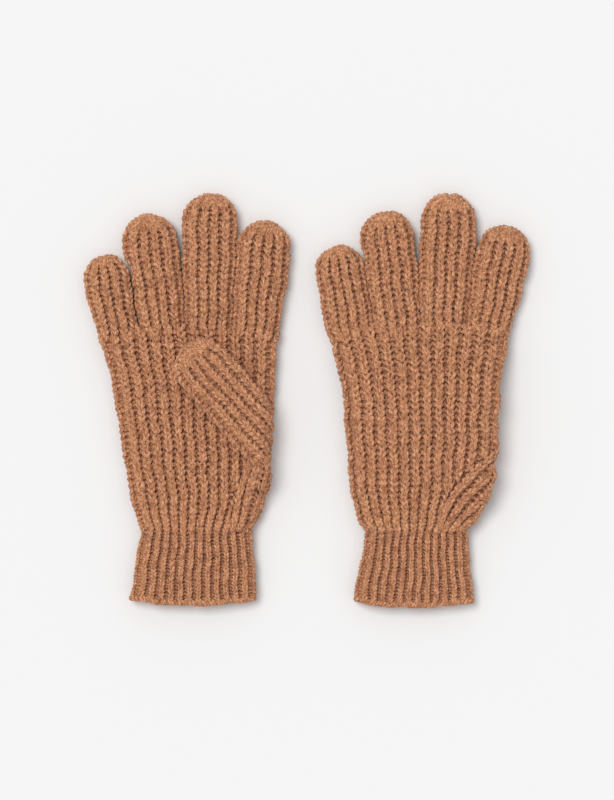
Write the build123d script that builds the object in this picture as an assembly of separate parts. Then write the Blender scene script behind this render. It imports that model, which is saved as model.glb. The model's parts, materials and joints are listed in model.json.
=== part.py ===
from build123d import *
import math
import os
from dataclasses import dataclass

# A pair of full-fingered knitted gloves lying flat side by side, fingers towards +Y.
# The right-hand glove (at -X) lies on its back, with its thumb folded over the palm.
# The left-hand glove (at +X) lies palm down, with its thumb folded underneath, so its
# fingers and cuff slope down to the floor. Its fingers and cuff bend about the palm's
# surface, and those of the right-hand glove about the middle of its thickness. Each glove
# is hollow: the knitted fabric is drawn as walls of even thickness. Lengths are in
# millimetres, angles in degrees.

# ---- driving dimensions ----
GLOVE_THICKNESS = 14.0
FABRIC = 3.2
SIDE_ROUNDING = 6.5
THUMB_THICKNESS = 10.6
THUMB_FABRIC = 2.8
THUMB_ROUNDING = 4.9
CUFF_THICKNESS = 12.6
CUFF_ROUNDING = 5.9
ROLL_LENGTH = 5.0
ROLL_PROUD = 0.7
ROLL_ROUNDING = 1.5
GAP = 0.4
FLOOR_EASE = 0.35
FINGER_CURL = 90.0
CUFF_FOLD = 70.0
WRIST_Y = -78.0
OUTLINE_TOP = 58.0
WEB_DEPTH = 11.0
BEND_RADIUS = 22.0
GUSSET_TOP = 4.0
THUMB_HOLE = (-48.0, -8.0)

HALF = GLOVE_THICKNESS / 2
HOLLOW = GLOVE_THICKNESS - 2 * FABRIC
THUMB_UNDERLAY = THUMB_THICKNESS + 2 * GAP
BEYOND = 60.0
EASE = 0.01


@dataclass
class Digit:
    """A finger or thumb: the centre of its root, its lean towards +X, its plan length and its width."""

    name: str
    root: tuple
    lean: float
    length: float
    width: float


@dataclass
class Glove:
    """One glove. Its edges run from the wrist to the knuckles. curl is +1 with the palm up, -1 with it down."""

    side: str
    curl: int
    underside: float
    left_edge: list
    right_edge: list
    fingers: list
    thumb: Digit
    gusset_edge: list
    cuff_hem: tuple
    cuff_length: float

    @property
    def middle(self):
        return self.underside + HALF

    @property
    def bend_height(self):
        return self.middle if self.curl > 0 else self.underside

    @property
    def drop(self):
        return max(self.underside - FLOOR_EASE, 0.0)

    @property
    def wrist(self):
        return (self.left_edge[0][0] + self.right_edge[0][0]) / 2


RIGHT = Glove(
    side="right",
    curl=1,
    underside=0.0,
    left_edge=[(-98.9, WRIST_Y), (-106.0, -55.0), (-116.5, 11.0), (-126.2, 46.0), (-129.0, OUTLINE_TOP)],
    right_edge=[(-33.5, WRIST_Y), (-22.8, -56.0), (-19.8, -10.0), (-19.8, 14.0), (-15.4, OUTLINE_TOP)],
    fingers=[
        Digit("little_finger", (-114.4, 45.0), -10.4, 43.0, 24.6),
        Digit("ring_finger", (-87.3, 48.0), -8.3, 64.4, 27.6),
        Digit("middle_finger", (-59.0, 48.2), 0.8, 76.2, 27.0),
        Digit("index_finger", (-30.6, 46.5), 6.0, 61.5, 28.0),
    ],
    thumb=Digit("thumb", (-19.4, -27.0), -42.0, 78.6, 34.0),
    gusset_edge=[(-48.0, WRIST_Y), (-46.0, -56.0), (-36.0, -20.0), (-36.0, GUSSET_TOP)],
    cuff_hem=(-107.0, -29.5),
    cuff_length=45.8,
)

LEFT = Glove(
    side="left",
    curl=-1,
    underside=THUMB_UNDERLAY,
    left_edge=[(33.2, WRIST_Y), (26.5, -57.0), (21.0, 10.0), (11.0, 46.0), (8.0, OUTLINE_TOP)],
    right_edge=[(98.0, WRIST_Y), (109.5, -57.0), (114.4, -25.0), (114.8, 8.0), (124.4, OUTLINE_TOP)],
    fingers=[
        Digit("little_finger", (25.4, 46.0), -10.0, 46.7, 26.8),
        Digit("ring_finger", (53.6, 47.6), -6.6, 66.2, 26.6),
        Digit("middle_finger", (81.6, 50.0), 3.2, 74.5, 26.8),
        Digit("index_finger", (109.8, 49.0), 11.0, 56.4, 26.8),
    ],
    thumb=Digit("thumb", (115.2, -27.0), -42.0, 78.6, 34.0),
    gusset_edge=[(82.0, WRIST_Y), (84.0, -56.0), (100.0, -20.0), (100.0, GUSSET_TOP)],
    cuff_hem=(26.4, 100.4),
    cuff_length=45.2,
)


def rounded_plate(outline, thickness, rounding, open_ends):
    """A plan outline made thick about Z=0, its edges rounded except along the open ends, given by their Y."""
    plate = extrude(outline, thickness / 2, both=True)

    def is_rounded(edge):
        centre = edge.center()
        on_face = abs(abs(centre.Z) - thickness / 2) < EASE
        return on_face and all(abs(centre.Y - end) > EASE for end in open_ends)

    return fillet([edge for edge in plate.edges() if is_rounded(edge)], rounding)


def strip_outline(left_edge, right_edge):
    """A plan outline between two edges, each a list of points in rising Y, with its bends eased."""
    outline = make_face(Polyline(*left_edge, *reversed(right_edge), close=True))
    ends = (left_edge[0][1], left_edge[-1][1])
    bends = [v for v in outline.vertices() if all(abs(v.Y - end) > EASE for end in ends)]
    return fillet(bends, BEND_RADIUS) if bends else outline


def digit_outline(start, length, width):
    """A plan outline along +Y with straight sides and a round tip."""
    half, shoulder = width / 2, length - width / 2
    sides = Polyline((-half, shoulder), (-half, start), (half, start), (half, shoulder))
    return make_face([*sides.edges(), *CenterArc((0, shoulder), half, 0, 180).edges()])


def digit_tube(digit, start, length, thickness, fabric, rounding):
    """A knitted tube along +Y, closed at its round tip and open at its start."""
    outer = digit_outline(start, length, digit.width)
    inner = digit_outline(start - fabric, length - fabric, digit.width - 2 * fabric)
    skin = rounded_plate(outer, thickness, rounding, [start])
    inside = rounded_plate(inner, thickness - 2 * fabric, rounding - fabric, [start - fabric])
    return skin - inside


def hinge_relief(width, closing_angle):
    """The space beyond a bend line on X, bevelled above it so that the joint can close upwards by this angle."""
    depth = GLOVE_THICKNESS + 2
    top_y = -GAP / 2 - depth * math.tan(math.radians(closing_angle / 2))
    profile = [(-GAP / 2, -depth), (-GAP / 2, 0), (top_y, depth), (BEYOND, depth), (BEYOND, -depth)]
    face = make_face(Plane.YZ * Polyline(*profile, close=True))
    return extrude(face, width / 2, dir=(1, 0, 0), both=True)


def knuckle_relief(glove, width):
    """The space beyond a finger's root line, bevelled where the finger curls up over the palm."""
    return hinge_relief(width, FINGER_CURL if glove.curl > 0 else 0)


def pitch_to_floor(plan_reach, drop):
    """The downward pitch of a tube that reaches the floor at this distance from its raised root."""
    return math.degrees(math.atan(drop / plan_reach))


def root_frame(digit, height):
    """A digit's own frame: its origin at the centre of its root, +Y along the digit."""
    return Pos(*digit.root, height) * Rot(Z=-digit.lean)


def finger(glove, digit):
    """One finger, hinged on its root line and sloping down to the floor where the hand is raised."""
    plan_reach = digit.length - SIDE_ROUNDING
    length = math.hypot(plan_reach, glove.drop) + SIDE_ROUNDING
    tube = digit_tube(digit, -GLOVE_THICKNESS, length, GLOVE_THICKNESS, FABRIC, SIDE_ROUNDING)
    tube = Pos(0, 0, glove.middle - glove.bend_height) * tube
    behind_root = mirror(knuckle_relief(glove, BEYOND), Plane.XZ)
    pitch = Rot(X=-pitch_to_floor(plan_reach, glove.drop))
    return root_frame(digit, glove.bend_height) * pitch * (tube - behind_root)


def thumb(glove):
    """The thumb, folded flat against the palm and cut along its fold at the hand's side edge."""
    height = glove.middle + glove.curl * (HALF + GAP + THUMB_THICKNESS / 2)
    tube = digit_tube(
        glove.thumb, -BEYOND / 2, glove.thumb.length, THUMB_THICKNESS, THUMB_FABRIC, THUMB_ROUNDING
    )
    fold_x = glove.thumb.root[0] - GAP
    beyond_fold = Pos(fold_x + BEYOND, 0, height) * Box(2 * BEYOND, 5 * BEYOND, BEYOND)
    return root_frame(glove.thumb, height) * tube - beyond_fold


def hand_shell(glove):
    """The hollow hand, open at the wrist, into each finger and into the thumb."""
    top = glove.left_edge[-1][1]
    outline = strip_outline(glove.left_edge, glove.right_edge)
    shell = rounded_plate(outline, GLOVE_THICKNESS, SIDE_ROUNDING, [WRIST_Y, top])

    web_y = min(digit.root[1] for digit in glove.fingers) - WEB_DEPTH
    left_inside = [(x + FABRIC, y) for x, y in glove.left_edge if y < web_y]
    right_inside = [(x - FABRIC, y) for x, y in glove.right_edge if y < web_y]
    left_inside.append((left_inside[-1][0], web_y))
    right_inside.append((right_inside[-1][0], web_y))
    inside = strip_outline(left_inside, right_inside)
    shell -= rounded_plate(inside, HOLLOW, HALF - FABRIC - GAP, [WRIST_Y, web_y])

    bend_level = glove.bend_height - glove.middle
    for digit in glove.fingers:
        passage = Box(digit.width - 2 * FABRIC, 2 * WEB_DEPTH + FABRIC, HOLLOW)
        shell -= root_frame(digit, 0) * passage
        shell -= root_frame(digit, bend_level) * knuckle_relief(glove, digit.width + 2 * FABRIC)

    hole_start, hole_end = THUMB_HOLE
    hole = Box(4 * FABRIC, hole_end - hole_start, HOLLOW)
    shell -= Pos(glove.thumb.root[0], (hole_start + hole_end) / 2, 0) * hole
    below_wrist = mirror(hinge_relief(2 * BEYOND, CUFF_FOLD), Plane.XZ)
    shell -= wrist_frame(glove, bend_level) * below_wrist
    return Pos(0, 0, glove.middle) * shell


def gusset_block(glove):
    """The upright block that the thumb gusset takes out of the hand's thumb side."""
    far_x = glove.thumb.root[0] + BEYOND
    below_wrist = WRIST_Y - HALF
    plan = [*glove.gusset_edge, (far_x, GUSSET_TOP), (far_x, below_wrist), (glove.gusset_edge[0][0], below_wrist)]
    return extrude(make_face(Polyline(*plan, close=True)), BEYOND)


def hand_pieces(glove):
    """The hand as its three knitted pieces: palm panel, back panel and thumb gusset."""
    shell = hand_shell(glove)
    block = gusset_block(glove)
    panels = shell - block
    upper_half = Pos(0, 0, glove.middle + BEYOND / 2) * Box(10 * BEYOND, 10 * BEYOND, BEYOND)
    upper, lower = panels & upper_half, panels - upper_half
    palm, back = (upper, lower) if glove.curl > 0 else (lower, upper)
    return {"palm": palm, "back": back, "thumb_gusset": shell & block}


def wrist_frame(glove, height):
    """The cuff's own frame: its origin at the centre of the wrist, +Y towards the hand."""
    return Pos(glove.wrist, WRIST_Y, height)


def cuff_outline(glove, start, end, inset):
    """The cuff's plan outline in its own frame between two distances below the wrist."""
    left_top, right_top = glove.left_edge[0][0] - glove.wrist, glove.right_edge[0][0] - glove.wrist
    left_hem, right_hem = glove.cuff_hem[0] - glove.wrist, glove.cuff_hem[1] - glove.wrist

    def across(top, hem, distance):
        return top + (hem - top) * max(distance, 0) / glove.cuff_length

    left = [(across(left_top, left_hem, d) + inset, -d) for d in (end, start)]
    right = [(across(right_top, right_hem, d) - inset, -d) for d in (end, start)]
    return make_face(Polyline(*left, *reversed(right), close=True))


def cuff_pieces(glove):
    """The ribbed cuff and the chunky roll around its open end."""
    plan_reach = glove.cuff_length - ROLL_ROUNDING
    hem = math.hypot(plan_reach, glove.drop) + ROLL_ROUNDING
    roll_start = hem - ROLL_LENGTH
    above = -GLOVE_THICKNESS

    body = rounded_plate(
        cuff_outline(glove, above, roll_start, 0), CUFF_THICKNESS, CUFF_ROUNDING, [-above, -roll_start]
    )
    inside = rounded_plate(
        cuff_outline(glove, above, hem, FABRIC),
        CUFF_THICKNESS - 2 * FABRIC,
        CUFF_ROUNDING - FABRIC,
        [-above, -hem],
    )
    roll = rounded_plate(
        cuff_outline(glove, roll_start, hem, -ROLL_PROUD), GLOVE_THICKNESS, SIDE_ROUNDING, [-roll_start, -hem]
    )
    rims = [edge for edge in roll.edges() if edge.bounding_box().size.Y < ROLL_LENGTH / 2]
    roll = fillet(rims, ROLL_ROUNDING)

    raise_to_middle = Pos(0, 0, glove.middle - glove.bend_height)
    place = wrist_frame(glove, glove.bend_height) * Rot(X=pitch_to_floor(plan_reach, glove.drop))
    body = raise_to_middle * (body - inside) - hinge_relief(2 * BEYOND, CUFF_FOLD)
    return {"cuff": place * body, "cuff_edge": place * raise_to_middle * (roll - inside)}


def glove_pieces(glove):
    """Every knitted piece of one glove, by name."""
    pieces = hand_pieces(glove)
    pieces.update(cuff_pieces(glove))
    pieces["thumb"] = thumb(glove)
    for digit in glove.fingers:
        pieces[digit.name] = finger(glove, digit)
    return {f"{glove.side}_{name}": piece for name, piece in pieces.items()}


os.makedirs("parts", exist_ok=True)
for pair_member in (RIGHT, LEFT):
    for node, solid in glove_pieces(pair_member).items():
        export_step(solid, f"parts/{node}.step")
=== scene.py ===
"""A pair of rib-knit woollen gloves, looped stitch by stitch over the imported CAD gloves.

Both gloves are laid out in the same way, thumb side towards +X, so each is worked in its own
glove space: X and Y as on the table, Z up from the middle of the hand towards the palm. The
right-hand glove is then set down palm up, and the left-hand glove is turned over on its thumb.
Lengths are in millimetres until a mesh is made.
"""

import json
import math

import bpy
import numpy as np
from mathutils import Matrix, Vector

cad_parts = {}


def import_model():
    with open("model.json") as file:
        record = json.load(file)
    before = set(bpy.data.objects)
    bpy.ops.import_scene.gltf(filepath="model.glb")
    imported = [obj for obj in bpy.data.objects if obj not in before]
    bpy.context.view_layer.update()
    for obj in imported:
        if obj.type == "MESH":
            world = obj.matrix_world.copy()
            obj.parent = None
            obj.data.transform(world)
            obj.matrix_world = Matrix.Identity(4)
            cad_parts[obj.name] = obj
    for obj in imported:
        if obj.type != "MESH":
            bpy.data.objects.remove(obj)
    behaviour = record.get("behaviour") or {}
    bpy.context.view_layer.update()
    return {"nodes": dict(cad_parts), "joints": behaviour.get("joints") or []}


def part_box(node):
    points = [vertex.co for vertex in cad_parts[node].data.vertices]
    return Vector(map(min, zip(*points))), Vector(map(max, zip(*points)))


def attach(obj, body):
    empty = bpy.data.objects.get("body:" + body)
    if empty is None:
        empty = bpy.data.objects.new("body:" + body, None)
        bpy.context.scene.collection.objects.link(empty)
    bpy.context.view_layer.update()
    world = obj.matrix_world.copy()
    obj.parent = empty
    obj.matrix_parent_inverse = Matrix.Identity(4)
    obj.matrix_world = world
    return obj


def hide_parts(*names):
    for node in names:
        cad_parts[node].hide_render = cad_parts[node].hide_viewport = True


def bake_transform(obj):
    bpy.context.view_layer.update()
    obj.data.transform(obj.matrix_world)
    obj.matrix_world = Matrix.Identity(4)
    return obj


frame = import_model()
MM = 1000.0
JOINTS = {joint["name"]: joint for joint in frame["joints"]}
RNG = np.random.default_rng(20)

# ---- the knit ----
# Yarn radii are in millimetres and a row's height is the distance from one row to the next.
YARN = 1.18
CUFF_YARN = 0.8
EDGE_YARN = 1.05
HAND_ROW = 3.6
FINGER_ROW = 3.4
CUFF_ROW = 1.95
TIP_ROW = 2.5
# Loops are taller than their rows, so that each reaches into the next row.
LOOP_HEIGHT = 1.4
CUFF_LOOP_HEIGHT = 1.55
# A rib is one knit and one purl wale. The share is the knit wale's part of its width.
RIBS_AROUND = 26
FINGER_RIB = 5.9
KNIT_SHARE = 0.68
CUFF_SHARE = 0.57
TIP_WALE = 3.4
# The ribs run this far into a fingertip before the plain stitches begin.
TIP_RIBBED = 9.5
# How far a knit loop's legs and middle stand out of the fabric, and how much deeper a purl loop sits.
RELIEF = 0.85
CORRUGATION = 0.62
PURL_DEPTH = 1.25
LEG_LEAN = 0.25
LEG_PINCH = 0.05
LEG_PLUMP = 0.28
THIN = 0.9
# Near the wrist the rows are closer together.
GATHERED = 0.62
GATHER_REACH = 20.0
GUSSET_GATHER_REACH = 18.0
# Unevenness, as a share of the yarn's radius, the loop's height and the row's height.
YARN_NOISE = 0.14
LOOP_NOISE = 0.13
ROW_NOISE = 0.07
# The lining is the fabric's inner face: wider than the yarn's middle at the sides, and flatter.
LINING_SIDE = 0.5
LINING_FLATNESS = 0.52
# Samples along one loop and sides round the yarn.
SAMPLES = 12
SIDES = 6
# The yarn texture's scale, in millimetres, and the step that sets each yarn apart in it.
YARN_TEXTURE = 10.0
YARN_STEP = 37.0
YARN_STEP_ROUND = 0.13

# ---- the gloves ----
# Heights are half the thickness of a tube, measured to the yarn's middle.
HALF_HEIGHT = 4.4
CUFF_HALF_HEIGHT = 3.9
THUMB_HALF_HEIGHT = 2.9
WEB_HALF_HEIGHT = 2.5
# How square each tube's section is: 2 is an ellipse and more is squarer.
HAND_SQUARENESS = 3.2
DIGIT_SQUARENESS = 2.8
CUFF_SQUARENESS = 3.0
# The yarn's middle lies this far inside the outline.
INSET = 2.4
WRIST_Y = -78.0
HAND_TOP = 54.0
# Height of the hand's middle above the table, and of the left hand's where it lies on its thumb.
HAND_LEVEL = 7.0
DRAPED_LEVEL = 18.4
DRAPE_NEAR = 16.0
DRAPE_FAR = 62.0
# Between these heights a point passes from the draped hand to its level thumb.
THUMB_SHEET = (6.5, 9.0)
# Heights of the thumb's middle and of the web's, above the middle of the hand.
THUMB_LEVEL = 12.9
WEB_LEVEL = 10.5
FINGER_START = -9.0
TIP_SQUARENESS = 2.1
TIP_SAG = 0.35
TIP_INSET = {"right": 2.5, "left": 3.8}
CREASE = 0.65
# Yarn below the gap is squashed against the table.
REST_GAP = 0.25
REST_SQUASH = 0.12
# The thumb's and the web's fold over the hand's side.
FOLD_RADIUS = 8.0
FOLD_INSET = 3.2
WEB_FOLD_RADIUS = 4.0
WEB_FOLD_INSET = 4.4
SIDE_INSET = 1.6
TUCK = 7.0
TUCK_DROP = 3.4
# The thumb's knit and the web's end at these heights and at these Y.
THUMB_HEM = 7.0
THUMB_FOOT = -44.0
WEB_HEM = -3.2
WEB_FOOT = -43.0
THUMB_START = -38.0
THUMB_REACH = 78.0
THUMB_WIDTH = 35.0
THUMB_ANGLE = 42.0
THUMB_DRAPED = 58.0
# How far the cuff's hem lies inside the box of its CAD edge, and how far its middle hangs down.
HEM_LIFT = {"right": 4.8, "left": 6.0}
HEM_SIDE = 0.7
HEM_BOW = 3.2
CUFF_BLEND = 8.0
FINGERS = ("little_finger", "ring_finger", "middle_finger", "index_finger")
# Widths at the root and at the tip.
FINGER_WIDTHS = {
    "right": {
        "little_finger": (26, 27),
        "ring_finger": (29, 32),
        "middle_finger": (28, 32),
        "index_finger": (28.5, 32),
    },
    "left": {
        "little_finger": (28.5, 28.5),
        "ring_finger": (30.5, 31.5),
        "middle_finger": (29, 32.5),
        "index_finger": (28.5, 31),
    },
}
# Where the gusset meets each panel: distance from the thumb's fold line, and Y.
PALM_SEAM = ((-27, WRIST_Y), (-24, -56), (-12, -36), (-8, -24), (60, -23))
BACK_SEAM = ((-34, WRIST_Y), (-30.5, -54), (0.5, -24), (60, -23))
TINT = (0.563, 0.239, 0.112)


def smooth(x, low, high):
    """A step from 0 to 1 between low and high, level at both ends."""
    t = np.clip((np.asarray(x, float) - low) / (high - low), 0, 1)
    return t * t * (3 - 2 * t)


def unit(v):
    """Vectors scaled to a length of 1."""
    return v / np.maximum(np.linalg.norm(v, axis=-1, keepdims=True), 1e-9)


def right_of(direction):
    """A quarter turn clockwise from a direction in plan."""
    return np.array([direction[1], -direction[0]])


def row_height(distance, reach):
    """A hand row's height at a distance above the wrist, less where the knit is gathered."""
    return HAND_ROW * (GATHERED + (1 - GATHERED) * float(smooth(distance, 0, reach)))


def rounded(x, y, passes):
    """Rounds off the corners of a line, its ends kept."""
    for _ in range(passes):
        for line in (x, y):
            line[1:-1] = (line[:-2] + 2 * line[1:-1] + line[2:]) / 4
    return x, y


# ---------------------------------------------------------------- surfaces
class Surface:
    """A grid of points [along, around] in glove space, read between its points."""

    def __init__(self, grid, closed):
        self.grid = grid
        self.closed = closed
        along = np.gradient(grid, axis=0)
        if closed:
            around = np.roll(grid, -1, 1) - np.roll(grid, 1, 1)
        else:
            around = np.gradient(grid, axis=1)
        self.normal = unit(np.cross(around, along))

    def read(self, v, u):
        """Points and normals at fractions v along and u around."""
        rows, columns = self.grid.shape[:2]
        y = np.clip(np.asarray(v) * (rows - 1), 0, rows - 1.001)
        x = np.asarray(u) * (columns if self.closed else columns - 1)
        if not self.closed:
            x = np.clip(x, 0, columns - 1.001)
        i, j = np.floor(y).astype(int), np.floor(x).astype(int)
        fy, fx = (y - i)[..., None], (x - j)[..., None]
        j0, j1 = j % columns, (j + 1) % columns

        def mix(values):
            low = values[i, j0] * (1 - fx) + values[i, j1] * fx
            high = values[i + 1, j0] * (1 - fx) + values[i + 1, j1] * fx
            return low * (1 - fy) + high * fy

        return mix(self.grid), unit(mix(self.normal))


def ring(half_width, half_height, squareness, count):
    """Points (x, z) of a flattened tube's section, evenly spaced from -X over +Z and back under."""
    t = np.linspace(0, 2 * math.pi, 721)
    c, s = np.cos(t), np.sin(t)
    power = 2 / squareness
    x = -half_width * np.sign(c) * np.abs(c) ** power
    z = half_height * np.sign(s) * np.abs(s) ** power
    length = np.concatenate([[0], np.cumsum(np.hypot(np.diff(x), np.diff(z)))])
    at = np.linspace(0, length[-1], count, endpoint=False)
    return np.interp(at, length, x), np.interp(at, length, z), length[-1]


# ---------------------------------------------------------------- stitches
def row_path(wales, start, knit):
    """One row of loops over a list of wales: distance across, lift along (-1 to 1), depth and plumpness."""
    t = np.linspace(0, 2 * math.pi, SAMPLES, endpoint=False)
    leg = (1 - np.cos(2 * t)) / 2
    across, lift, depth, plump = [], [], [], []
    here = start
    for width, is_knit in zip(wales, knit):
        lean = LEG_LEAN * np.sin(2 * t) + LEG_PINCH * np.sin(t)
        across.append(here + width * (t / (2 * math.pi) + lean))
        lift.append(-np.cos(t))
        front = leg * 2 * RELIEF + CORRUGATION * np.sin(t / 2) ** 2
        depth.append(front if is_knit else -PURL_DEPTH * front)
        plump.append(THIN + LEG_PLUMP * leg if is_knit else THIN + 0 * leg)
        here += width
    return [np.concatenate(values) for values in (across, lift, depth, plump)]


def rib_wales(units, unit_width, share=KNIT_SHARE):
    """Wale widths and kinds for so many knit-and-purl ribs."""
    wales = [unit_width * share, unit_width * (1 - share)] * units
    return wales, [True, False] * units


def sweep(path, normal, radius, closed):
    """A yarn along a path: ring vertices [sample, side] with the given surface normals as its frame."""
    if closed:
        tangent = np.roll(path, -1, 0) - np.roll(path, 1, 0)
    else:
        tangent = np.gradient(path, axis=0)
    tangent = unit(tangent)
    side = unit(np.cross(tangent, normal))
    up = np.cross(side, tangent)
    angle = np.linspace(0, 2 * math.pi, SIDES, endpoint=False)
    circle = np.cos(angle)[None, :, None] * up[:, None] + np.sin(angle)[None, :, None] * side[:, None]
    return path[:, None] + radius[:, None, None] * circle


class Knit:
    """Collects yarns and linings for one piece and makes its mesh. A warp bends them when given."""

    def __init__(self, warp=None):
        self.warp = warp
        self.yarns = []
        self.linings = []

    def add(self, path, normal, radius, closed):
        """One yarn along a path, of slightly uneven thickness."""
        if len(path) < 4:
            return
        wobble = RNG.standard_normal(len(path) + 4)
        wobble = 1 + YARN_NOISE * np.convolve(wobble, np.ones(5) / 5, "valid")
        self.yarns.append((path, normal, radius * wobble, closed))

    def row(self, surface, v, height, wales, knit, start, span, yarn, keep=None):
        """A row of loops at v along a surface; start and span turn distance into fractions around."""
        across, lift, depth, plump = row_path(wales, start, knit)
        loops = np.repeat(1 + LOOP_NOISE * RNG.standard_normal(len(wales)), SAMPLES)
        shift = np.repeat(ROW_NOISE * RNG.standard_normal(len(wales)), SAMPLES)
        u = across / span
        row_v = v + lift * height * loops / 2 + shift * height
        point, normal = surface.read(row_v, u)
        path = point + normal * depth[:, None]
        radius = yarn * plump
        inside = np.ones(len(path), bool) if keep is None else keep(path)
        if self.warp:
            bent = self.warp(path)
            normal = unit(self.warp(path + 0.4 * normal) - bent)
            path = bent
        if inside.all():
            self.add(path, normal, radius, surface.closed)
            return
        if surface.closed:
            turn = int(np.argmin(inside))
            path, normal, radius, inside = (np.roll(a, -turn, 0) for a in (path, normal, radius, inside))
        edges = np.flatnonzero(np.diff(np.concatenate([[0], inside.astype(int), [0]])))
        for first, last in zip(edges[::2], edges[1::2]):
            self.add(path[first:last], normal[first:last], radius[first:last], False)

    def line(self, surface, keep=None):
        """The inner face of the fabric, a little inside the yarn."""
        grid = surface.grid
        centre = grid.mean(1, keepdims=True)
        out = grid - centre
        reach = np.linalg.norm(out[..., :2], axis=-1).max(1)[:, None, None]
        out[..., :2] *= 1 + LINING_SIDE / reach
        out[..., 2] *= LINING_FLATNESS
        self.linings.append((centre + out, surface.closed, keep))

    def build(self, name, world, flip, material):
        """The piece's mesh, placed by the world function, with a bake UV layer and a yarn UV layer."""
        points, faces, bake, yarn_uv = [], [], [], []
        offset = 0
        count = len(self.yarns) + len(self.linings)
        for index, (path, normal, radius, closed) in enumerate(self.yarns):
            rings = sweep(path, normal, radius, closed)
            n = len(path)
            points.append(rings.reshape(-1, 3))
            steps = n if closed else n - 1
            a = np.arange(steps)[:, None]
            b = (a + 1) % n
            k = np.arange(SIDES)[None, :]
            k1 = (k + 1) % SIDES
            quads = np.stack([a * SIDES + k, b * SIDES + k, b * SIDES + k1, a * SIDES + k1], -1)
            faces.append(quads.reshape(-1, 4) + offset)
            offset += n * SIDES
            length = np.concatenate([[0], np.cumsum(np.linalg.norm(np.diff(path, axis=0), axis=1))])
            length = np.append(length, length[-1] + (length[1] - length[0]))
            along0, along1 = length[a], length[a + 1]
            total = length[-1] + 1e-6
            around0, around1 = k / SIDES + 0 * a, (k + 1) / SIDES + 0 * a
            corner_u = np.stack([along0 + 0 * k, along1 + 0 * k, along1 + 0 * k, along0 + 0 * k], -1)
            corner_v = np.stack([around0, around0, around1, around1], -1)
            bake.append(
                np.stack([corner_u / total, (index + 0.05 + 0.9 * corner_v) / count], -1).reshape(-1, 2)
            )
            base = YARN_STEP * index
            texture = [corner_u / YARN_TEXTURE + base, corner_v + base * YARN_STEP_ROUND]
            yarn_uv.append(np.stack(texture, -1).reshape(-1, 2))
        for index, (grid, closed, keep) in enumerate(self.linings, len(self.yarns)):
            grid = grid[::2, ::3]
            rows, columns = grid.shape[:2]
            points.append(grid.reshape(-1, 3))
            a = np.arange(rows - 1)[:, None]
            k = np.arange(columns if closed else columns - 1)[None, :]
            k1 = (k + 1) % columns
            this, above = a * columns, (a + 1) * columns
            quads = np.stack([this + k, this + k1, above + k1, above + k], -1).reshape(-1, 4)
            shown = np.ones(len(quads), bool)
            if keep is not None:
                shown = keep(grid.reshape(-1, 3))[quads].all(1)
            if self.warp:
                points[-1] = self.warp(points[-1])
            faces.append(quads[shown] + offset)
            offset += rows * columns
            corner_u = np.stack([k + 0 * a, k + 1 + 0 * a, k + 1 + 0 * a, k + 0 * a], -1) / columns
            corner_v = np.stack([a + 0 * k, a + 0 * k, a + 1 + 0 * k, a + 1 + 0 * k], -1) / rows
            shown = np.repeat(shown, 4)
            bake.append(
                np.stack([corner_u, (index + 0.05 + 0.9 * corner_v) / count], -1).reshape(-1, 2)[shown]
            )
            yarn_uv.append(np.stack([corner_v * 13, corner_u * 9], -1).reshape(-1, 2)[shown])
        verts = world(np.concatenate(points))
        verts[:, 2] += np.clip(REST_GAP - verts[:, 2], 0, None) * (1 - REST_SQUASH)
        verts /= MM
        quads = np.concatenate(faces)
        used, quads = np.unique(quads, return_inverse=True)
        quads = quads.reshape(-1, 4)
        verts = verts[used]
        if flip:
            quads = quads[:, ::-1]
            bake = [uv.reshape(-1, 4, 2)[:, ::-1].reshape(-1, 2) for uv in bake]
            yarn_uv = [uv.reshape(-1, 4, 2)[:, ::-1].reshape(-1, 2) for uv in yarn_uv]
        mesh = bpy.data.meshes.new(name)
        mesh.vertices.add(len(verts))
        mesh.vertices.foreach_set("co", verts.astype(np.float32).ravel())
        mesh.loops.add(quads.size)
        mesh.loops.foreach_set("vertex_index", quads.astype(np.int32).ravel())
        mesh.polygons.add(len(quads))
        mesh.polygons.foreach_set("loop_start", np.arange(0, quads.size, 4, dtype=np.int32))
        mesh.polygons.foreach_set("use_smooth", np.ones(len(quads), bool))
        for layer, values in (("OFBake", bake), ("yarn", yarn_uv)):
            uv = mesh.uv_layers.new(name=layer)
            uv.data.foreach_set("uv", np.concatenate(values).astype(np.float32).ravel())
        mesh.update()
        mesh.validate()
        mesh.materials.append(material)
        made = bpy.data.objects.new(name, mesh)
        bpy.context.scene.collection.objects.link(made)
        return made


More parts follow.
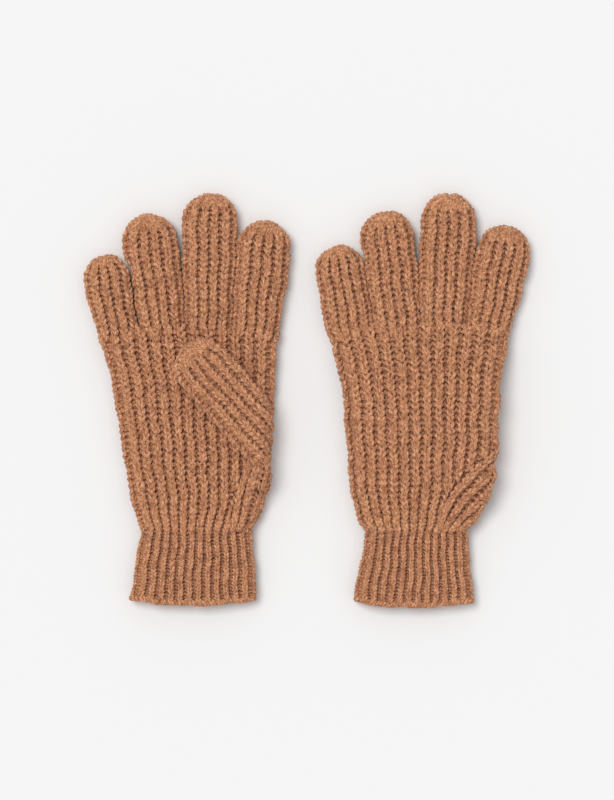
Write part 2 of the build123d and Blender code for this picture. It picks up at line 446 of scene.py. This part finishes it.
# ---------------------------------------------------------------- a glove in glove space
class Glove:
    """One glove's measures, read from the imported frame."""

    def __init__(self, side):
        self.side = side
        self.palm_up = side == "right"
        self.edges = self.slices()
        self.fold_x, self.fold_y = np.array(JOINTS[f"{side}_thumb_swing"]["pos_m"][:2]) * MM

    def at(self, x, y, z):
        """A point near the thumb, in the row frame and in metres."""
        return (x / MM, y / MM, (HAND_LEVEL + z if self.palm_up else DRAPED_LEVEL - z) / MM)

    def slices(self):
        """The hand's left and right edges at a few heights, read from the CAD hand."""
        ys = np.arange(WRIST_Y + 1, 43, 4.0)
        low, high = np.full(len(ys), 1e9), np.full(len(ys), -1e9)
        for part in ("palm", "back", "thumb_gusset"):
            mesh = frame["nodes"][f"{self.side}_{part}"].data
            co = np.zeros(len(mesh.vertices) * 3)
            mesh.vertices.foreach_get("co", co)
            co = co.reshape(-1, 3) * MM
            ends = np.zeros(len(mesh.edges) * 2, np.int64)
            mesh.edges.foreach_get("vertices", ends)
            a, b = co[ends[0::2]], co[ends[1::2]]
            for i, y in enumerate(ys):
                cross = (a[:, 1] - y) * (b[:, 1] - y) <= 0
                pa, pb = a[cross], b[cross]
                if not len(pa):
                    continue
                rise = pb[:, 1] - pa[:, 1]
                t = (y - pa[:, 1]) / np.where(np.abs(rise) < 1e-9, 1e9, rise)
                x = pa[:, 0] + np.clip(t, 0, 1) * (pb[:, 0] - pa[:, 0])
                low[i], high[i] = min(low[i], x.min()), max(high[i], x.max())
        return ys, low, high

    def edge(self, y, which):
        """The hand's edge at y, left when which is negative, and straight above the last slice."""
        ys, low, high = self.edges
        values = low if which < 0 else high
        slope_end = (values[-1] - values[-4]) / (ys[-1] - ys[-4])
        inside = np.interp(y, ys, values)
        return inside + np.maximum(y - ys[-1], 0) * slope_end

    def digit(self, name):
        """A finger's root, its direction and its length along it, from its joint and its CAD node."""
        _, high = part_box(f"{self.side}_{name}")
        joint = JOINTS[f"{self.side}_{name}_bend"]
        root = np.array(joint["pos_m"][:2]) * MM
        axis = np.array(joint["axis"][:2])
        direction = np.array([-axis[1], axis[0]])
        direction *= np.sign(direction[1])
        reach = (high.y * MM - root[1]) / direction[1]
        return root, direction, reach


def hand_surface(glove):
    """The hand tube from the wrist to the knuckles; around it, 0 is the little-finger edge."""
    ys = np.linspace(WRIST_Y - 2, HAND_TOP, 120)
    rows, spans = [], []
    for y in ys:
        left, right = glove.edge(y, -1) + INSET, glove.edge(y, 1) - INSET
        x, z, span = ring((right - left) / 2, HALF_HEIGHT, HAND_SQUARENESS, 360)
        rows.append(np.stack([(left + right) / 2 + x, np.full_like(x, y), z], -1))
        spans.append(span)
    return Surface(np.array(rows), True), ys, np.array(spans)


def panel_surface(glove, top, first, last):
    """A hand panel whose columns follow its ribs, counted from the little-finger edge."""
    hand, ys, _ = hand_surface(glove)
    rows, count = 160, 113
    u = np.linspace(first, last, count) / RIBS_AROUND * (1 if top else -1)
    grid = np.array([hand.read(np.full(count, v), u)[0] for v in np.linspace(0, 1, rows)])
    return Surface(grid if top else grid[:, ::-1], False), ys


def finger_zone(path, margin, fingers):
    """True where a point lies more than the margin beyond any finger's root, within its width."""
    hit = np.zeros(len(path), bool)
    for root, direction, _, width in fingers:
        offset = path[:, :2] - root
        beside = np.abs(offset @ right_of(direction)) < width / 2 - 1.0
        hit |= (offset @ direction > margin) & beside
    return hit


def hand_panel(glove, top, seam, fingers):
    """One panel of the hand, knitted from the wrist to the finger roots and cut along the gusset seam."""
    ribs = RIBS_AROUND // 2 + (1 if top else 0)
    first = -KNIT_SHARE / 2 if top else KNIT_SHARE / 2
    surface, ys = panel_surface(glove, top, first, first + ribs)
    knit = Knit()

    seam_y = [y for _, y in seam]
    seam_x = [glove.fold_x + x for x, _ in seam]

    def keep(path):
        beyond_seam = path[:, 0] > np.interp(path[:, 1], seam_y, seam_x)
        past_root = np.zeros(len(path), bool)
        for root, direction, _, _ in fingers:
            offset = path[:, :2] - root
            near = np.abs(offset @ right_of(direction)) < 20
            past_root |= near & (offset @ direction > 0.5)
        return ~(beyond_seam | past_root | finger_zone(path, -4.5, fingers))

    y = WRIST_Y + 0.5
    total = ys[-1] - ys[0]
    wales, kinds = rib_wales(ribs, 1.0)
    hand, _, _ = hand_surface(glove)

    def keep_lining(points):
        half = points[:, 2] >= -0.01 if top else points[:, 2] <= 0.01
        clear = ~finger_zone(points, 0.0, fingers)
        below_crotch = points[:, 1] < min(root[1] for root, _, _, _ in fingers) + 1
        return half & clear & below_crotch

    knit.line(hand, keep_lining)
    while y < HAND_TOP - 2:
        row = row_height(y - WRIST_Y, GATHER_REACH)
        height = row * LOOP_HEIGHT / total
        knit.row(surface, (y - ys[0]) / total, height, wales, kinds, 0.0, ribs, YARN, keep)
        y += row
    return knit


class Digit:
    """A finger or thumb: where it starts, where it points, how far it reaches and how wide it is.

    A finger's root stays inside the outline of its glove, and its sides stay inside its walls.
    """

    def __init__(self, root, direction, reach, widths, half_height, level, outline=None, walls=()):
        self.root = root
        self.direction = direction
        self.across = right_of(direction)
        self.root_width, self.tip_width = widths
        self.half_height = half_height
        self.level = level
        self.cap = self.tip_width / 2
        self.shoulder = reach - self.cap
        self.outline = outline
        self.walls = walls

    def width(self, s):
        """The width at a distance s from the root."""
        grow = float(smooth(s, 0, self.shoulder * 0.8))
        return self.root_width + (self.tip_width - self.root_width) * grow

    def surface(self, start):
        """The tube from start to its closed tip.

        With it come each grid row's length around and its distance from the start, and how far the tip is.
        """
        body = np.linspace(start, self.shoulder, 120)
        rows, spans, travelled = [], [], []
        for s in body:
            sink = 1 - 0.34 * (1 - float(smooth(s, start, 2.0))) * (start < 0)
            x, z, span = ring(self.width(s) / 2 - INSET, self.half_height * sink, DIGIT_SQUARENESS, 240)
            rows.append(self.points(x, np.full_like(x, s), z))
            spans.append(span)
            travelled.append(s - start)
        cap = self.cap - INSET * 0.4
        quarter = (cap + self.tip_width / 2 - INSET) * math.pi / 4
        for phi in np.linspace(0, math.pi / 2, 80)[1:]:
            close = math.cos(phi) ** (2 / TIP_SQUARENESS)
            rise = math.sin(phi) ** (2 / TIP_SQUARENESS)
            wide = max((self.tip_width / 2 - INSET) * close, 0.4)
            x, z, span = ring(wide, max(self.half_height * close**0.55, 0.3), DIGIT_SQUARENESS, 240)
            middle = TIP_SAG * (1 - (x / wide) ** 2)
            s = self.shoulder + cap * (rise * (1 - middle) + middle * 2 * phi / math.pi)
            rows.append(self.points(x, s, z))
            spans.append(span)
            travelled.append(self.shoulder - start + quarter * 2 * phi / math.pi)
        surface = Surface(np.array(rows), True)
        return surface, np.array(spans), np.array(travelled), self.shoulder - start

    def points(self, x, s, z):
        """Points across, along and above the digit's middle line, in glove space."""
        plan = self.root + self.across * x[:, None] + self.direction * s[:, None]
        if self.outline is not None:
            near = 1 - smooth(s, 2, 16)
            left = self.outline.edge(plan[:, 1], -1) + INSET
            right = self.outline.edge(plan[:, 1], 1) - INSET
            inside = np.clip(plan[:, 0], left, right)
            plan[:, 0] += near * (inside - plan[:, 0])
        for point, outward, length in self.walls:
            past = (plan - point) @ outward + INSET + CREASE
            beside = 1 - smooth(s, length - 9, length - 1)
            plan -= (np.clip(past, 0, None) * beside)[:, None] * outward
        return np.stack([plan[:, 0], plan[:, 1], self.level + z], -1)

    def knit(self, start, warp=None, keep=None):
        """Ribs along the digit, with a plain round tip of narrower stitches."""
        surface, spans, travelled, tip_from = self.surface(start)
        knit = Knit(warp)
        knit.line(surface, keep)
        ribs = max(6, int(round(spans[60] / FINGER_RIB)))
        grid = np.linspace(0, 1, len(travelled))
        here = 0.6
        while here < travelled[-1] - 0.3:
            v = float(np.interp(here, travelled, grid))
            span = float(np.interp(here, travelled, spans))
            plain = here > tip_from + TIP_RIBBED
            if plain:
                count = max(6, int(round(span / TIP_WALE)))
                wales, kinds = [span / count] * count, [True] * count
                height = TIP_ROW
            else:
                wales, kinds = rib_wales(ribs, span / ribs)
                height = FINGER_ROW
            before, after = np.interp([here - 0.5, here + 0.5], travelled, grid)
            loop = height * LOOP_HEIGHT * float(after - before)
            knit.row(surface, v, loop, wales, kinds, -wales[0] / 2, span, YARN, keep)
            here += min(height, TIP_ROW + 0.3) if here + height > tip_from + TIP_RIBBED else height
        return knit


def fold_over(glove, digit, radius, inset):
    """Folds a tube over at the hand's side.

    Its outer layer wraps down the side and its inner layer ends in the fold. With the warp come the
    tests for the points that the thumb's knit keeps and that its root's knit keeps.
    """
    side = glove.fold_x - inset
    start = side - radius
    top = digit.level + digit.half_height

    def warp(p):
        x, y, z = p[:, 0], p[:, 1], p[:, 2]
        over = np.maximum(x - start, 0)
        turn = np.minimum(over / radius, math.pi / 2)
        reach = radius + z - top
        outer_x = np.where(over > 0, start + reach * np.sin(turn), x)
        outer_z = top - radius + reach * np.cos(turn) - (over - radius * turn)
        past_edge = np.minimum(glove.edge(y, 1) - SIDE_INSET - glove.fold_x + FOLD_INSET, 0)
        outer_x = outer_x + smooth(x, start, side + 4) * past_edge
        beyond = np.maximum(x - start + 2, 0)
        inner_x = np.minimum(x, start - 2) + TUCK * (1 - np.exp(-beyond / TUCK))
        inner_z = z - TUCK_DROP * smooth(beyond, 0, 10)
        outer = smooth(z, digit.level - 1.2, digit.level + 1.2)
        bent_x = inner_x + outer * (outer_x - inner_x)
        bent_z = inner_z + outer * (outer_z - inner_z)
        return np.stack([bent_x, y, bent_z], -1)

    def keep_thumb(flat):
        inner = flat[:, 2] < digit.level + 1
        in_fold = inner & (flat[:, 0] > side + 3)
        shown = (warp(flat)[:, 2] > THUMB_HEM) & (flat[:, 1] > THUMB_FOOT)
        return (shown & ~in_fold) | (inner & (flat[:, 0] < side))

    def keep_root(flat):
        outer = flat[:, 2] > digit.level
        shown = (warp(flat)[:, 2] > WEB_HEM) & (flat[:, 1] > WEB_FOOT)
        return outer & shown & (flat[:, 0] > start - 3)

    return warp, keep_thumb, keep_root


def along_polyline(points, distance):
    """Points at distances along a polyline, its last run carried on."""
    points = np.array(points, float)
    steps = np.linalg.norm(np.diff(points, axis=0), axis=1)
    travelled = np.concatenate([[0], np.cumsum(steps)])
    beyond = np.maximum(distance - travelled[-1], 0)
    direction = (points[-1] - points[-2]) / steps[-1]
    x = np.interp(distance, travelled, points[:, 0]) + beyond * direction[0]
    y = np.interp(distance, travelled, points[:, 1]) + beyond * direction[1]
    return x, y


def gusset_back(glove, knit):
    """Gusset ribs on the back: up from the wrist, then slanting out to the hand's side edge."""
    hand, ys, spans = hand_surface(glove)
    half_wrist = float(np.interp(WRIST_Y, ys, spans)) / 2
    wrist_rib = half_wrist / (RIBS_AROUND / 2)
    seam_rib = 9 - KNIT_SHARE / 2
    seam_x = float(glove.edge(WRIST_Y, 1)) - INSET - half_wrist + seam_rib * wrist_rib
    ribs, length, columns = 5, 82.0, 41
    # each rib turns from upwards to 45 degrees, this far out and below the one before
    turn_out, turn_down = 7, 0.414 * 7
    distance = np.linspace(0, length, 140)
    grid, beyond = [], []
    for k in np.linspace(0, ribs, columns):
        wrist = (seam_x + wrist_rib * k, WRIST_Y)
        turn = (glove.fold_x - 31.5 + turn_out * k, -54 - turn_down * k)
        x, y = along_polyline([wrist, turn, (turn[0] + 10, turn[1] + 10)], distance)
        x, y = rounded(x, y, 5)
        edge = glove.edge(y, 1) - INSET
        half = np.interp(y, ys, spans) / 2
        s = half - (edge - x)
        v = (np.clip(y, ys[0], ys[-1]) - ys[0]) / (ys[-1] - ys[0])
        point, normal = hand.read(v, -s / (2 * half))
        lift = 1 - smooth(k, 0, 0.6)
        grid.append(point + normal * lift)
        beyond.append(s - half)
    grid = np.array(grid).transpose(1, 0, 2)
    over = np.array(beyond).T
    surface = Surface(grid[:, ::-1], False)
    over_surface = Surface(np.repeat(over[:, ::-1, None], 3, 2), False)
    here = 0.5
    while here < length - 2:
        row = row_height(here, GUSSET_GATHER_REACH)
        wales, kinds = rib_wales(ribs, 1.0)
        v = here / length

        def keep(path, v=v):
            """Where the ribs are still on the back and not far round the hand's side."""
            out, _ = over_surface.read(np.full(len(path), v), np.linspace(0, 1, len(path)))
            return (path[:, 2] < 3.5) & (out[:, 0] < 10)

        knit.row(surface, v, row * LOOP_HEIGHT / length, wales[::-1], kinds[::-1], 0.0, ribs, YARN, keep)
        here += row


def gusset_palm(glove, knit):
    """Gusset ribs on the palm: a fan from the wrist, rising at the side to meet the thumb's outer layer."""
    hand, ys, _ = hand_surface(glove)
    fold = glove.fold_x
    wrist_v = (WRIST_Y - ys[0]) / (ys[-1] - ys[0])
    seam_x = float(hand.read(np.array([wrist_v]), np.array([10.5 / RIBS_AROUND]))[0][0, 0])
    inner = [(seam_x, WRIST_Y), (fold - 24.5, -58), (fold - 14, -30), (fold - 11, -24)]
    outer = [(float(glove.edge(y, 1)) - 4.0, y) for y in (WRIST_Y, -70, -64, -58, -52)]
    outer += [(fold - 5, -44), (fold - 9, -34)]
    v = np.linspace(0, 1, 100)
    rise = THUMB_LEVEL + THUMB_HALF_HEIGHT - HALF_HEIGHT
    columns = []
    for k in np.linspace(0, 1, 41):
        x0, y0 = along_polyline(inner, v * 54)
        x1, y1 = along_polyline(outer, v * 46)
        x, y = rounded(x0 + (x1 - x0) * k, y0 + (y1 - y0) * k, 6)
        z = HALF_HEIGHT + 0.6 + rise * float(smooth(k, 0.25, 0.8)) * smooth(v, 0.3, 0.85)
        z = z - 3.5 * smooth(k, 0.72, 1.0)
        columns.append(np.stack([x, y, z], -1))
    grid = np.array(columns).transpose(1, 0, 2)
    rim_x, rim_y, rim_z = grid[:, -1].T
    # beyond the fan's outer edge the knit turns down the hand's side
    skirt = []
    for drop in np.linspace(0.08, 1, 16):
        down = rim_z - (rim_z + 3.0) * drop
        bulge = np.sin(math.pi * min(drop, 0.5)) * 0.7
        skirt.append(np.stack([rim_x + bulge, rim_y, down], -1))
    grid = np.concatenate([grid, np.array(skirt).transpose(1, 0, 2)], 1)
    surface = Surface(grid, False)
    across = 3.5
    purl = 1 - KNIT_SHARE
    wales = [purl / 2, *[KNIT_SHARE, purl] * 3, across - 3 - purl / 2]
    kinds = [False, *[True, False] * 3, True]
    length = 50.0
    here = 0.5
    while here < length - 1:
        row = row_height(here, GUSSET_GATHER_REACH)
        knit.row(surface, here / length, row * LOOP_HEIGHT / length, wales, kinds, 0.0, across, YARN)
        here += row


def cuff_surface(glove):
    """The cuff tube from the wrist down to its hem."""
    low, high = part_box(f"{glove.side}_cuff_edge")
    hem_y = low.y * MM
    top_left, top_right = glove.edge(WRIST_Y, -1), glove.edge(WRIST_Y, 1)
    hem_left, hem_right = low.x * MM + HEM_SIDE, high.x * MM - HEM_SIDE
    ys = np.linspace(WRIST_Y + 2, hem_y + HEM_LIFT[glove.side], 60)
    rows, spans = [], []
    for y in ys:
        t = np.clip((WRIST_Y - y) / (WRIST_Y - hem_y), 0, 1)
        left = top_left + (hem_left - top_left) * t + INSET
        right = top_right + (hem_right - top_right) * t - INSET
        x, z, span = ring((right - left) / 2, CUFF_HALF_HEIGHT, CUFF_SQUARENESS, 360)
        bow = -HEM_BOW * t * (1 - (x / np.abs(x).max()) ** 2)
        rows.append(np.stack([(left + right) / 2 + x, y + bow, z], -1))
        spans.append(span)
    # the rows run downwards, so they are turned over to keep the normals outwards
    grid = np.array(rows)[::-1]
    return Surface(grid, True), ys[::-1], np.array(spans)[::-1]


def cuff_knit(glove):
    """The cuff's 1x1 rib, and the tube it is knitted on."""
    surface, ys, spans = cuff_surface(glove)
    knit = Knit()
    knit.line(surface)
    total = ys[-1] - ys[0]
    y = ys[0] + 2.2
    while y < ys[-1] - 0.8:
        span = float(np.interp(y, ys, spans))
        wales, kinds = rib_wales(RIBS_AROUND, span / RIBS_AROUND, CUFF_SHARE)
        height = CUFF_ROW * CUFF_LOOP_HEIGHT / total
        knit.row(surface, (y - ys[0]) / total, height, wales, kinds, -wales[0] / 2, span, CUFF_YARN)
        y += CUFF_ROW
    return knit, surface


def edge_knit(surface):
    """The cast-on edge: two strands twisted round each other along the hem."""
    knit = Knit()
    turns, count = 36, 720
    u = np.linspace(0, 1, count, endpoint=False)
    for strand in range(2):
        phase = 2 * math.pi * (turns * u + strand / 2)
        point, normal = surface.read(np.full(count, 0.012), u)
        other, _ = surface.read(np.full(count, 0.06), u)
        down = unit(point - other)
        path = point + normal * (0.9 + np.cos(phase))[:, None] + down * np.sin(phase)[:, None]
        knit.add(path, normal, EDGE_YARN, True)
    return knit


# ---------------------------------------------------------------- wool
def wool(name, tint):
    """Heathered woollen yarn: mottled colour, pale flecks, darker fibres along the yarn and a twisted ply."""
    material = bpy.data.materials.new(name)
    material.use_nodes = True
    nodes, links = material.node_tree.nodes, material.node_tree.links
    nodes.clear()
    out = nodes.new("ShaderNodeOutputMaterial")
    shader = nodes.new("ShaderNodeBsdfPrincipled")
    links.new(shader.outputs[0], out.inputs[0])
    shader.inputs["Roughness"].default_value = 0.92
    shader.inputs["Sheen Weight"].default_value = 0.35
    shader.inputs["Sheen Roughness"].default_value = 0.5
    shader.inputs["Sheen Tint"].default_value = (1.0, 0.82, 0.68, 1)
    shader.inputs["Specular IOR Level"].default_value = 0.15
    place = nodes.new("ShaderNodeTexCoord")
    yarn = nodes.new("ShaderNodeUVMap")
    yarn.uv_map = "yarn"

    def noise(vector, scale, detail, stretch=None):
        node = nodes.new("ShaderNodeTexNoise")
        node.inputs["Scale"].default_value = scale
        node.inputs["Detail"].default_value = detail
        if stretch:
            mapping = nodes.new("ShaderNodeMapping")
            mapping.inputs["Scale"].default_value = stretch
            links.new(vector, mapping.inputs["Vector"])
            vector = mapping.outputs[0]
        links.new(vector, node.inputs["Vector"])
        return node.outputs["Fac"]

    def ramp(value, stops):
        node = nodes.new("ShaderNodeValToRGB")
        elements = node.color_ramp.elements
        while len(elements) < len(stops):
            elements.new(0.5)
        for element, (position, colour) in zip(elements, stops):
            element.position = position
            element.color = (*colour, 1)
        links.new(value, node.inputs[0])
        return node.outputs[0]

    def mix(kind, factor, a, b):
        node = nodes.new("ShaderNodeMix")
        node.data_type = "RGBA"
        node.blend_type = kind
        if isinstance(factor, float):
            node.inputs[0].default_value = factor
        else:
            links.new(factor, node.inputs[0])
        links.new(a, node.inputs[6])
        if isinstance(b, tuple):
            node.inputs[7].default_value = b
        else:
            links.new(b, node.inputs[7])
        return node.outputs[2]

    heather = noise(yarn.outputs[0], 5.0, 4.0, (1.0, 1.4, 1.0))
    base = ramp(
        heather,
        [
            (0.36, [c * k for c, k in zip(tint, (0.5, 0.4, 0.34))]),
            (0.5, tint),
            (0.63, [min(1, c * k) for c, k in zip(tint, (1.5, 1.78, 2.1))]),
        ],
    )
    fibres = noise(yarn.outputs[0], 9.0, 2.0, (1.0, 7.0, 1.0))
    streak = ramp(fibres, [(0.34, (0.66, 0.6, 0.55)), (0.5, (1, 1, 1))])
    base = mix("MULTIPLY", 0.8, base, streak)
    flecks = noise(yarn.outputs[0], 11.0, 2.0, (1.0, 2.4, 1.0))
    fleck_mask = ramp(flecks, [(0.57, (0, 0, 0)), (0.68, (1, 1, 1))])
    base = mix("MIX", fleck_mask, base, (0.9, 0.57, 0.36, 1))
    patches = noise(place.outputs["Object"], 230.0, 3.0)
    cloud = ramp(patches, [(0.34, (0.72, 0.68, 0.65)), (0.52, (1, 1, 1))])
    base = mix("MULTIPLY", 0.8, base, cloud)
    links.new(base, shader.inputs["Base Color"])

    ply = nodes.new("ShaderNodeTexWave")
    ply.inputs["Scale"].default_value = 1.0
    ply.inputs["Distortion"].default_value = 1.5
    ply.inputs["Detail"].default_value = 1.0
    slant = nodes.new("ShaderNodeMapping")
    slant.inputs["Scale"].default_value = (1.9, 0.65, 1.0)
    slant.inputs["Rotation"].default_value = (0, 0, math.radians(20))
    links.new(yarn.outputs[0], slant.inputs["Vector"])
    links.new(slant.outputs[0], ply.inputs["Vector"])
    fine = noise(place.outputs["Object"], 2600.0, 3.0)
    total = nodes.new("ShaderNodeMath")
    total.operation = "ADD"
    links.new(ply.outputs["Fac"], total.inputs[0])
    links.new(fine, total.inputs[1])
    bump = nodes.new("ShaderNodeBump")
    bump.inputs["Strength"].default_value = 0.6
    bump.inputs["Distance"].default_value = 0.0004
    links.new(total.outputs[0], bump.inputs["Height"])
    links.new(bump.outputs[0], shader.inputs["Normal"])
    return material


# ---------------------------------------------------------------- making both gloves
SLOTS = ("hand_rib_knit", "digit_rib_knit", "cuff_rib_knit", "cast_on_edge_knit")
WOOL = {slot: wool(slot, TINT) for slot in SLOTS}
THUMB_DIRECTION = np.array([-math.sin(math.radians(THUMB_ANGLE)), math.cos(math.radians(THUMB_ANGLE))])


def relax(p):
    """The unevenness of hand knitting: slow waves of a fraction of a millimetre."""
    x, y = p[:, 0], p[:, 1]
    q = p.copy()
    q[:, 0] += 0.32 * np.sin(0.21 * y + 0.07 * x) + 0.22 * np.sin(0.43 * y - 0.16 * x + 1.3)
    q[:, 1] += 0.3 * np.sin(0.24 * x - 0.05 * y + 0.6) + 0.22 * np.sin(0.5 * x + 0.11 * y)
    q[:, 2] += 0.4 * np.sin(0.13 * x + 0.17 * y) * (np.abs(p[:, 2]) < 40)
    return q


def placer(glove):
    """Glove space to the row frame: the right-hand glove lies palm up, the left-hand one over its thumb."""
    if glove.palm_up:

        def world(p):
            q = relax(p)
            q[:, 2] += HAND_LEVEL
            return q

        return world

    root = np.array([glove.fold_x - 4, glove.fold_y])

    def world(p):
        p = relax(p)
        q = p.copy()
        along = np.clip((p[:, :2] - root) @ THUMB_DIRECTION, 0, THUMB_DRAPED)
        nearest = root + along[:, None] * THUMB_DIRECTION
        distance = np.linalg.norm(p[:, :2] - nearest, axis=1)
        lift = (DRAPED_LEVEL - HAND_LEVEL) * (1 - smooth(distance, DRAPE_NEAR, DRAPE_FAR))
        under = smooth(p[:, 2], *THUMB_SHEET)
        q[:, 2] = HAND_LEVEL + lift - p[:, 2]
        thumb_z = DRAPED_LEVEL - p[:, 2]
        q[:, 2] = q[:, 2] * (1 - under) + thumb_z * under
        return q

    return world


def walls_of(fingers, n):
    """Where a finger meets its neighbours: a point between them, which way is out, and how far they touch."""
    walls = []
    root, direction, reach, _ = fingers[n]
    neighbours = fingers[max(n - 1, 0) : n] + fingers[n + 1 : n + 2]
    for other_root, other_direction, other_reach, _ in neighbours:
        line = direction + other_direction
        outward = right_of(line) / np.linalg.norm(line)
        outward *= np.sign(outward @ (other_root - root))
        walls.append(((root + other_root) / 2, outward, min(reach, other_reach)))
    return walls


def place(made, node, slot):
    """Hides the CAD node whose place a knitted piece takes; its material slot is not used here."""
    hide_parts(node)


for side in ("right", "left"):
    glove = Glove(side)
    world = placer(glove)
    flip = not glove.palm_up
    hand = f"{side}_hand"
    fingers = []
    for name in FINGERS:
        root, direction, reach = glove.digit(name)
        fingers.append((root, direction, reach, FINGER_WIDTHS[side][name][0]))

    for panel, top, seam in (("palm", True, PALM_SEAM), ("back", False, BACK_SEAM)):
        knit = hand_panel(glove, top, seam, fingers)
        made = knit.build(f"{side}_{panel}_knit", world, flip, WOOL["hand_rib_knit"])
        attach(made, hand)
        place(made, f"{side}_{panel}", "hand_rib_knit")

    gusset = Knit()
    gusset_back(glove, gusset)
    gusset_palm(glove, gusset)
    made = gusset.build(f"{side}_gusset_knit", world, flip, WOOL["hand_rib_knit"])
    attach(made, hand)
    place(made, f"{side}_thumb_gusset", "hand_rib_knit")

    for number, name in enumerate(FINGERS):
        root, direction, reach, _ = fingers[number]
        widths = FINGER_WIDTHS[side][name]
        walls = walls_of(fingers, number)
        digit = Digit(root, direction, reach - TIP_INSET[side], widths, HALF_HEIGHT, 0.0, glove, walls)
        made = digit.knit(FINGER_START).build(f"{side}_{name}_knit", world, flip, WOOL["digit_rib_knit"])
        z = JOINTS[f"{side}_{name}_bend"]["pos_m"][2]
        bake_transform(made)
        place(made, f"{side}_{name}", "digit_rib_knit")

    x, y = glove.fold_x, glove.fold_y
    root, widths = np.array([x, y]), (THUMB_WIDTH, THUMB_WIDTH)
    thumb = Digit(root, THUMB_DIRECTION, THUMB_REACH, widths, THUMB_HALF_HEIGHT, THUMB_LEVEL)
    warp, keep, _ = fold_over(glove, thumb, FOLD_RADIUS, FOLD_INSET)
    knit = thumb.knit(THUMB_START, warp, keep)
    made = knit.build(f"{side}_thumb_knit", world, flip, WOOL["digit_rib_knit"])
    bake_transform(made)
    place(made, f"{side}_thumb", "digit_rib_knit")

    # the web between hand and thumb
    web = Digit(root, THUMB_DIRECTION, THUMB_REACH, widths, WEB_HALF_HEIGHT, WEB_LEVEL)
    warp, _, keep = fold_over(glove, web, WEB_FOLD_RADIUS, WEB_FOLD_INSET)
    knit = web.knit(THUMB_START, warp, keep)
    made = knit.build(f"{side}_thumb_root_knit", world, flip, WOOL["digit_rib_knit"])
    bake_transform(made)
    place(made, f"{side}_thumb", "digit_rib_knit")

    knit, surface = cuff_knit(glove)
    made = knit.build(f"{side}_cuff_knit", world, flip, WOOL["cuff_rib_knit"])
    x, y, z = JOINTS[f"{side}_wrist_fold"]["pos_m"]
    reach = CUFF_BLEND / MM
    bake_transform(made)
    place(made, f"{side}_cuff", "cuff_rib_knit")
    made = edge_knit(surface).build(f"{side}_cuff_edge_knit", world, flip, WOOL["cast_on_edge_knit"])
    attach(made, f"{side}_cuff")
    place(made, f"{side}_cuff_edge", "cast_on_edge_knit")

# ---------------------------------------------------------------- table, light and camera
camera = bpy.data.objects.new("camera", bpy.data.cameras.new("camera"))
bpy.context.scene.collection.objects.link(camera)
camera.location = (0, 0, 3.0)
camera.data.lens = 150
camera.data.sensor_fit = "VERTICAL"
camera.data.sensor_height = 24
bpy.context.scene.camera = camera

bpy.ops.mesh.primitive_plane_add(size=6, location=(0, 0, 0))
table = bpy.context.object
paper = bpy.data.materials.new("paper")
paper.use_nodes = True
paper_shader = paper.node_tree.nodes["Principled BSDF"]
paper_shader.inputs["Base Color"].default_value = (0.87, 0.87, 0.87, 1)
paper_shader.inputs["Roughness"].default_value = 0.9
paper_shader.inputs["Specular IOR Level"].default_value = 0.0
table.data.materials.append(paper)

world_light = bpy.data.worlds.new("studio")
world_light.use_nodes = True
world_light.node_tree.nodes["Background"].inputs["Color"].default_value = (1, 1, 1, 1)
world_light.node_tree.nodes["Background"].inputs["Strength"].default_value = 0.6
bpy.context.scene.world = world_light

key = bpy.data.objects.new("key", bpy.data.lights.new("key", "SUN"))
key.data.angle = math.radians(30)
key.data.energy = 1.56
key.location = (-0.52, 0.42, 1.6)
bpy.context.scene.collection.objects.link(key)
key.rotation_euler = key.location.to_track_quat("Z", "Y").to_euler()
bpy.context.scene.view_settings.view_transform = "Standard"
